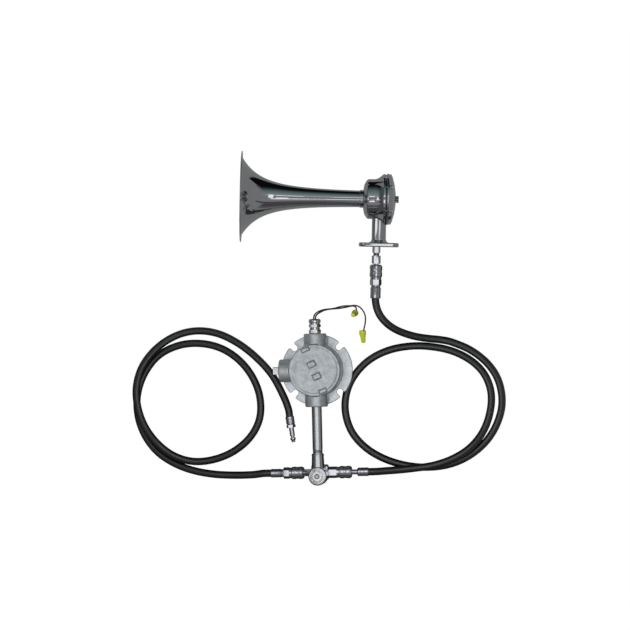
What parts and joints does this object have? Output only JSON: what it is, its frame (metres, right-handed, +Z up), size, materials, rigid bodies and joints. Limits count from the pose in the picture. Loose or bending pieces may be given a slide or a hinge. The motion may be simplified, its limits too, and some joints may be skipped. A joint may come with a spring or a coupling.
{
  "type": "air horn",
  "caption": "Compressed-air signal horn with a flared trumpet, quick-coupled air hoses, a solenoid valve and a round cast junction box on a conduit stem.",
  "frame": {"origin": "middle of the footprint of the rigid pieces (without hoses, wires and the free plug), on the surface that the set lies on", "axes": "X to the right and Y to the top of the picture, seen from above; Z up; the horn lies on its side with its bell to -X"},
  "size_m": [0.7971, 0.7054, 0.1904],
  "materials": {
    "chrome": "bright chrome plate",
    "bright_steel": "nickel-plated steel fittings",
    "steel": "plain machined steel",
    "cast_alloy": "as-cast sand-blasted alloy",
    "brass": "machined brass",
    "hose_rubber": "wrapped black hose cover",
    "seal_rubber": "soft moulded rubber",
    "wire_jacket": "black wire insulation",
    "nut_plastic": "yellow-green moulded plastic",
    "coil_tape": "tape-wrapped coil",
    "ground_green": "green-tinted screw"
  },
  "bodies": {
    "horn_set": {"trumpet": "chrome", "trumpet_collar": "chrome", "horn_body": "chrome", "throat_nozzle": "steel", "diaphragm_gaskets": "seal_rubber", "rear_cover": "chrome", "rear_cover_screws": "steel", "rear_plug": "bright_steel", "inlet_nipple": "chrome", "horn_plug": "bright_steel", "horn_coupler": "bright_steel", "horn_sleeve_spring": "steel", "horn_ferrule": "bright_steel", "supply_plug": "bright_steel", "supply_coupler": "bright_steel", "supply_sleeve_spring": "steel", "supply_ferrule": "bright_steel", "outlet_plug": "bright_steel", "outlet_coupler": "bright_steel", "outlet_sleeve_spring": "steel", "outlet_ferrule": "bright_steel", "lock_balls": "steel", "coupler_seals": "seal_rubber", "check_poppets": "brass", "check_springs": "steel", "inlet_plug": "bright_steel", "inlet_ferrule": "bright_steel", "supply_hose": "hose_rubber", "horn_hose": "hose_rubber", "junction_box": "cast_alloy", "hub_plug": "bright_steel", "gland_body": "steel", "gland_nut": "steel", "gland_grommet": "seal_rubber", "ground_screw": "ground_green", "conduit": "chrome", "coil_leads": "wire_jacket", "wire_a": "wire_jacket", "wire_b": "wire_jacket", "wire_nut_a": "nut_plastic", "wire_nut_b": "nut_plastic", "valve_body": "chrome", "core_tube": "steel", "plunger_spring": "steel", "pole_piece": "steel", "coil": "coil_tape", "solenoid_housing": "chrome", "retaining_nut": "bright_steel"},
    "horn_sleeve_slider": {"horn_sleeve": "bright_steel"},
    "supply_sleeve_slider": {"supply_sleeve": "bright_steel"},
    "outlet_sleeve_slider": {"outlet_sleeve": "bright_steel"},
    "valve_plunger": {"plunger": "steel", "valve_seat_disc": "seal_rubber"},
    "cover_ring": {"cover_seal": "seal_rubber"},
    "cover": {"box_cover": "cast_alloy"},
    "diaphragm_disc": {"diaphragm": "steel"}
  },
  "joints": [
    {"name": "horn_sleeve_slide", "type": "slide", "parent": "horn_set", "child": "horn_sleeve_slider", "axis": [-0.023, -0.9995, -0.0218], "range_m": [0, 0.0042], "stiffness_N_per_m": 600, "springref_m": -0.006, "deforming": ["horn_sleeve_spring"]},
    {"name": "supply_sleeve_slide", "type": "slide", "parent": "horn_set", "child": "supply_sleeve_slider", "axis": [-0.9997, -0.0236, 0], "range_m": [0, 0.0042], "stiffness_N_per_m": 600, "springref_m": -0.006, "deforming": ["supply_sleeve_spring"]},
    {"name": "outlet_sleeve_slide", "type": "slide", "parent": "horn_set", "child": "outlet_sleeve_slider", "axis": [-0.9997, -0.0236, 0], "range_m": [0, 0.0042], "stiffness_N_per_m": 600, "springref_m": -0.006, "deforming": ["outlet_sleeve_spring"]},
    {"name": "plunger_slide", "type": "slide", "parent": "horn_set", "child": "valve_plunger", "axis": [0, 0, 1], "range_m": [0, 0.0022], "stiffness_N_per_m": 400, "springref_m": -0.003, "deforming": ["plunger_spring"]},
    {"name": "cover_rise", "type": "slide", "parent": "horn_set", "child": "cover_ring", "axis": [0, 0, 1], "range_m": [0, 0.0075]},
    {"name": "cover_turn", "type": "hinge", "parent": "cover_ring", "child": "cover", "pos_m": [-0.0079, -0.10915, 0.0634], "axis": [0, 0, 1], "range_deg": [0, 1800]},
    {"name": "diaphragm_flex", "type": "slide", "parent": "horn_set", "child": "diaphragm_disc", "axis": [0.9907, -0.0199, -0.1349], "range_m": [0, 0.0006], "stiffness_N_per_m": 4000, "deforming": ["diaphragm"]}
  ],
  "couplings": [
    {"joint": "cover_rise", "follows": "cover_turn", "m_per_rad": 0.00023873}
  ]
}
